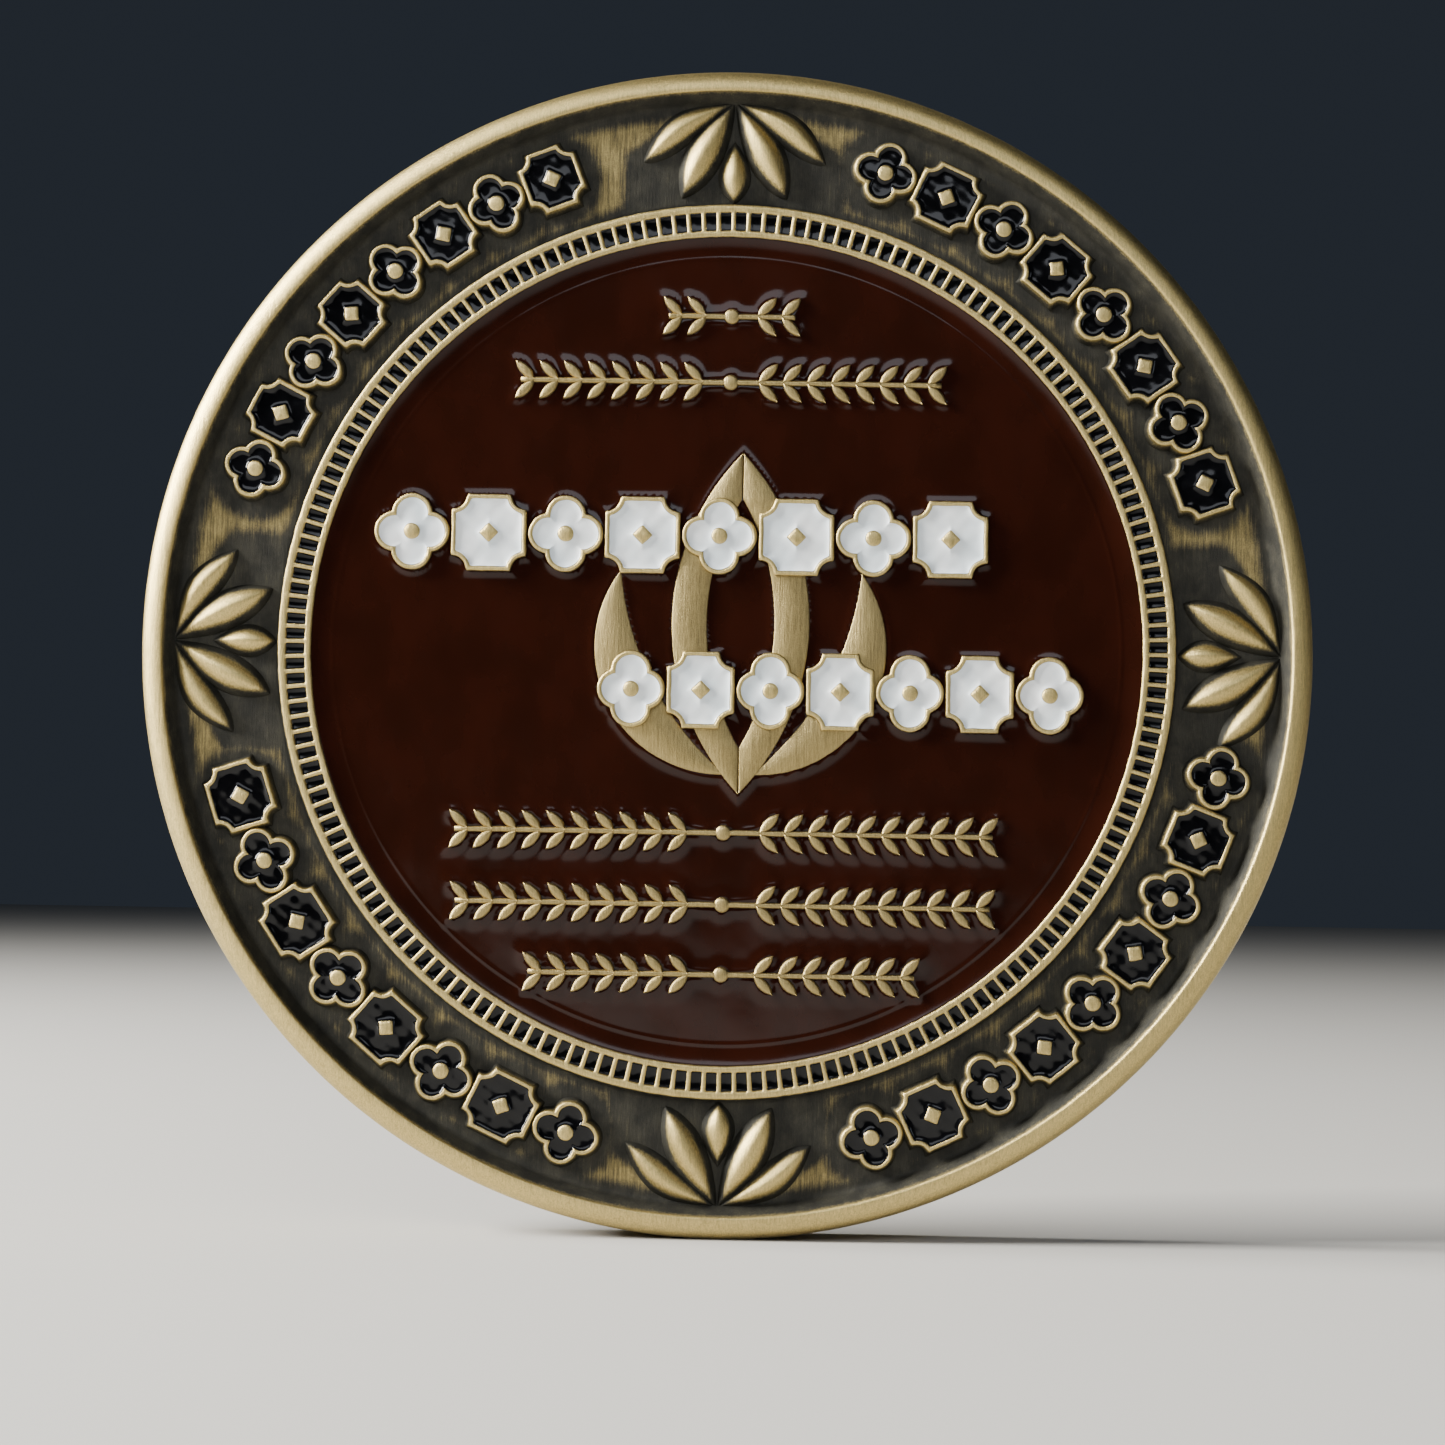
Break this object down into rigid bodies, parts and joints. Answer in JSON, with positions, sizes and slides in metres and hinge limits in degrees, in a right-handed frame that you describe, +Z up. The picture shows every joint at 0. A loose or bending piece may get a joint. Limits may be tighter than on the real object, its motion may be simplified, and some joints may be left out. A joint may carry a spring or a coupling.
{
  "type": "challenge coin",
  "caption": "Round struck brass coin with a raised rim, lotus ornaments, outlined enamel frieze and an enamelled centre panel.",
  "frame": {"origin": "centre of the coin, on the rim's axis and midway through its thickness", "axes": "-Y out of the front face, +Z up the face, +X to the right as the front is looked at; the coin stands on its rim"},
  "size_m": [0.0508, 0.0036, 0.0508],
  "materials": {
    "struck_brass": "antique brushed",
    "maroon_enamel": "gloss enamel",
    "black_enamel": "gloss enamel",
    "white_enamel": "gloss enamel"
  },
  "bodies": {
    "root": {"coin_body": "struck_brass", "frieze_1_enamel_1": "black_enamel", "frieze_1_enamel_2": "black_enamel", "frieze_1_enamel_3": "black_enamel", "frieze_1_enamel_4": "black_enamel", "frieze_1_enamel_5": "black_enamel", "frieze_1_enamel_6": "black_enamel", "frieze_1_enamel_7": "black_enamel", "frieze_1_enamel_8": "black_enamel", "frieze_2_enamel_1": "black_enamel", "frieze_2_enamel_2": "black_enamel", "frieze_2_enamel_3": "black_enamel", "frieze_2_enamel_4": "black_enamel", "frieze_2_enamel_5": "black_enamel", "frieze_2_enamel_6": "black_enamel", "frieze_2_enamel_7": "black_enamel", "frieze_2_enamel_8": "black_enamel", "frieze_2_enamel_9": "black_enamel", "frieze_3_enamel_1": "black_enamel", "frieze_3_enamel_2": "black_enamel", "frieze_3_enamel_3": "black_enamel", "frieze_3_enamel_4": "black_enamel", "frieze_3_enamel_5": "black_enamel", "frieze_3_enamel_6": "black_enamel", "frieze_3_enamel_7": "black_enamel", "frieze_3_enamel_8": "black_enamel", "frieze_4_enamel_1": "black_enamel", "frieze_4_enamel_2": "black_enamel", "frieze_4_enamel_3": "black_enamel", "frieze_4_enamel_4": "black_enamel", "frieze_4_enamel_5": "black_enamel", "frieze_4_enamel_6": "black_enamel", "frieze_4_enamel_7": "black_enamel", "frieze_4_enamel_8": "black_enamel", "front_ladder_enamel": "black_enamel", "front_panel_enamel": "maroon_enamel", "front_pool_enamel_1": "maroon_enamel", "front_pool_enamel_2": "maroon_enamel", "front_pool_enamel_3": "maroon_enamel", "reverse_panel_enamel": "maroon_enamel", "reverse_ring_enamel": "black_enamel", "row_1_enamel_1": "white_enamel", "row_1_enamel_2": "white_enamel", "row_1_enamel_3": "white_enamel", "row_1_enamel_4": "white_enamel", "row_1_enamel_5": "white_enamel", "row_1_enamel_6": "white_enamel", "row_1_enamel_7": "white_enamel", "row_1_enamel_8": "white_enamel", "row_2_enamel_1": "white_enamel", "row_2_enamel_2": "white_enamel", "row_2_enamel_3": "white_enamel", "row_2_enamel_4": "white_enamel", "row_2_enamel_5": "white_enamel", "row_2_enamel_6": "white_enamel", "row_2_enamel_7": "white_enamel"}
  },
  "joints": []
}
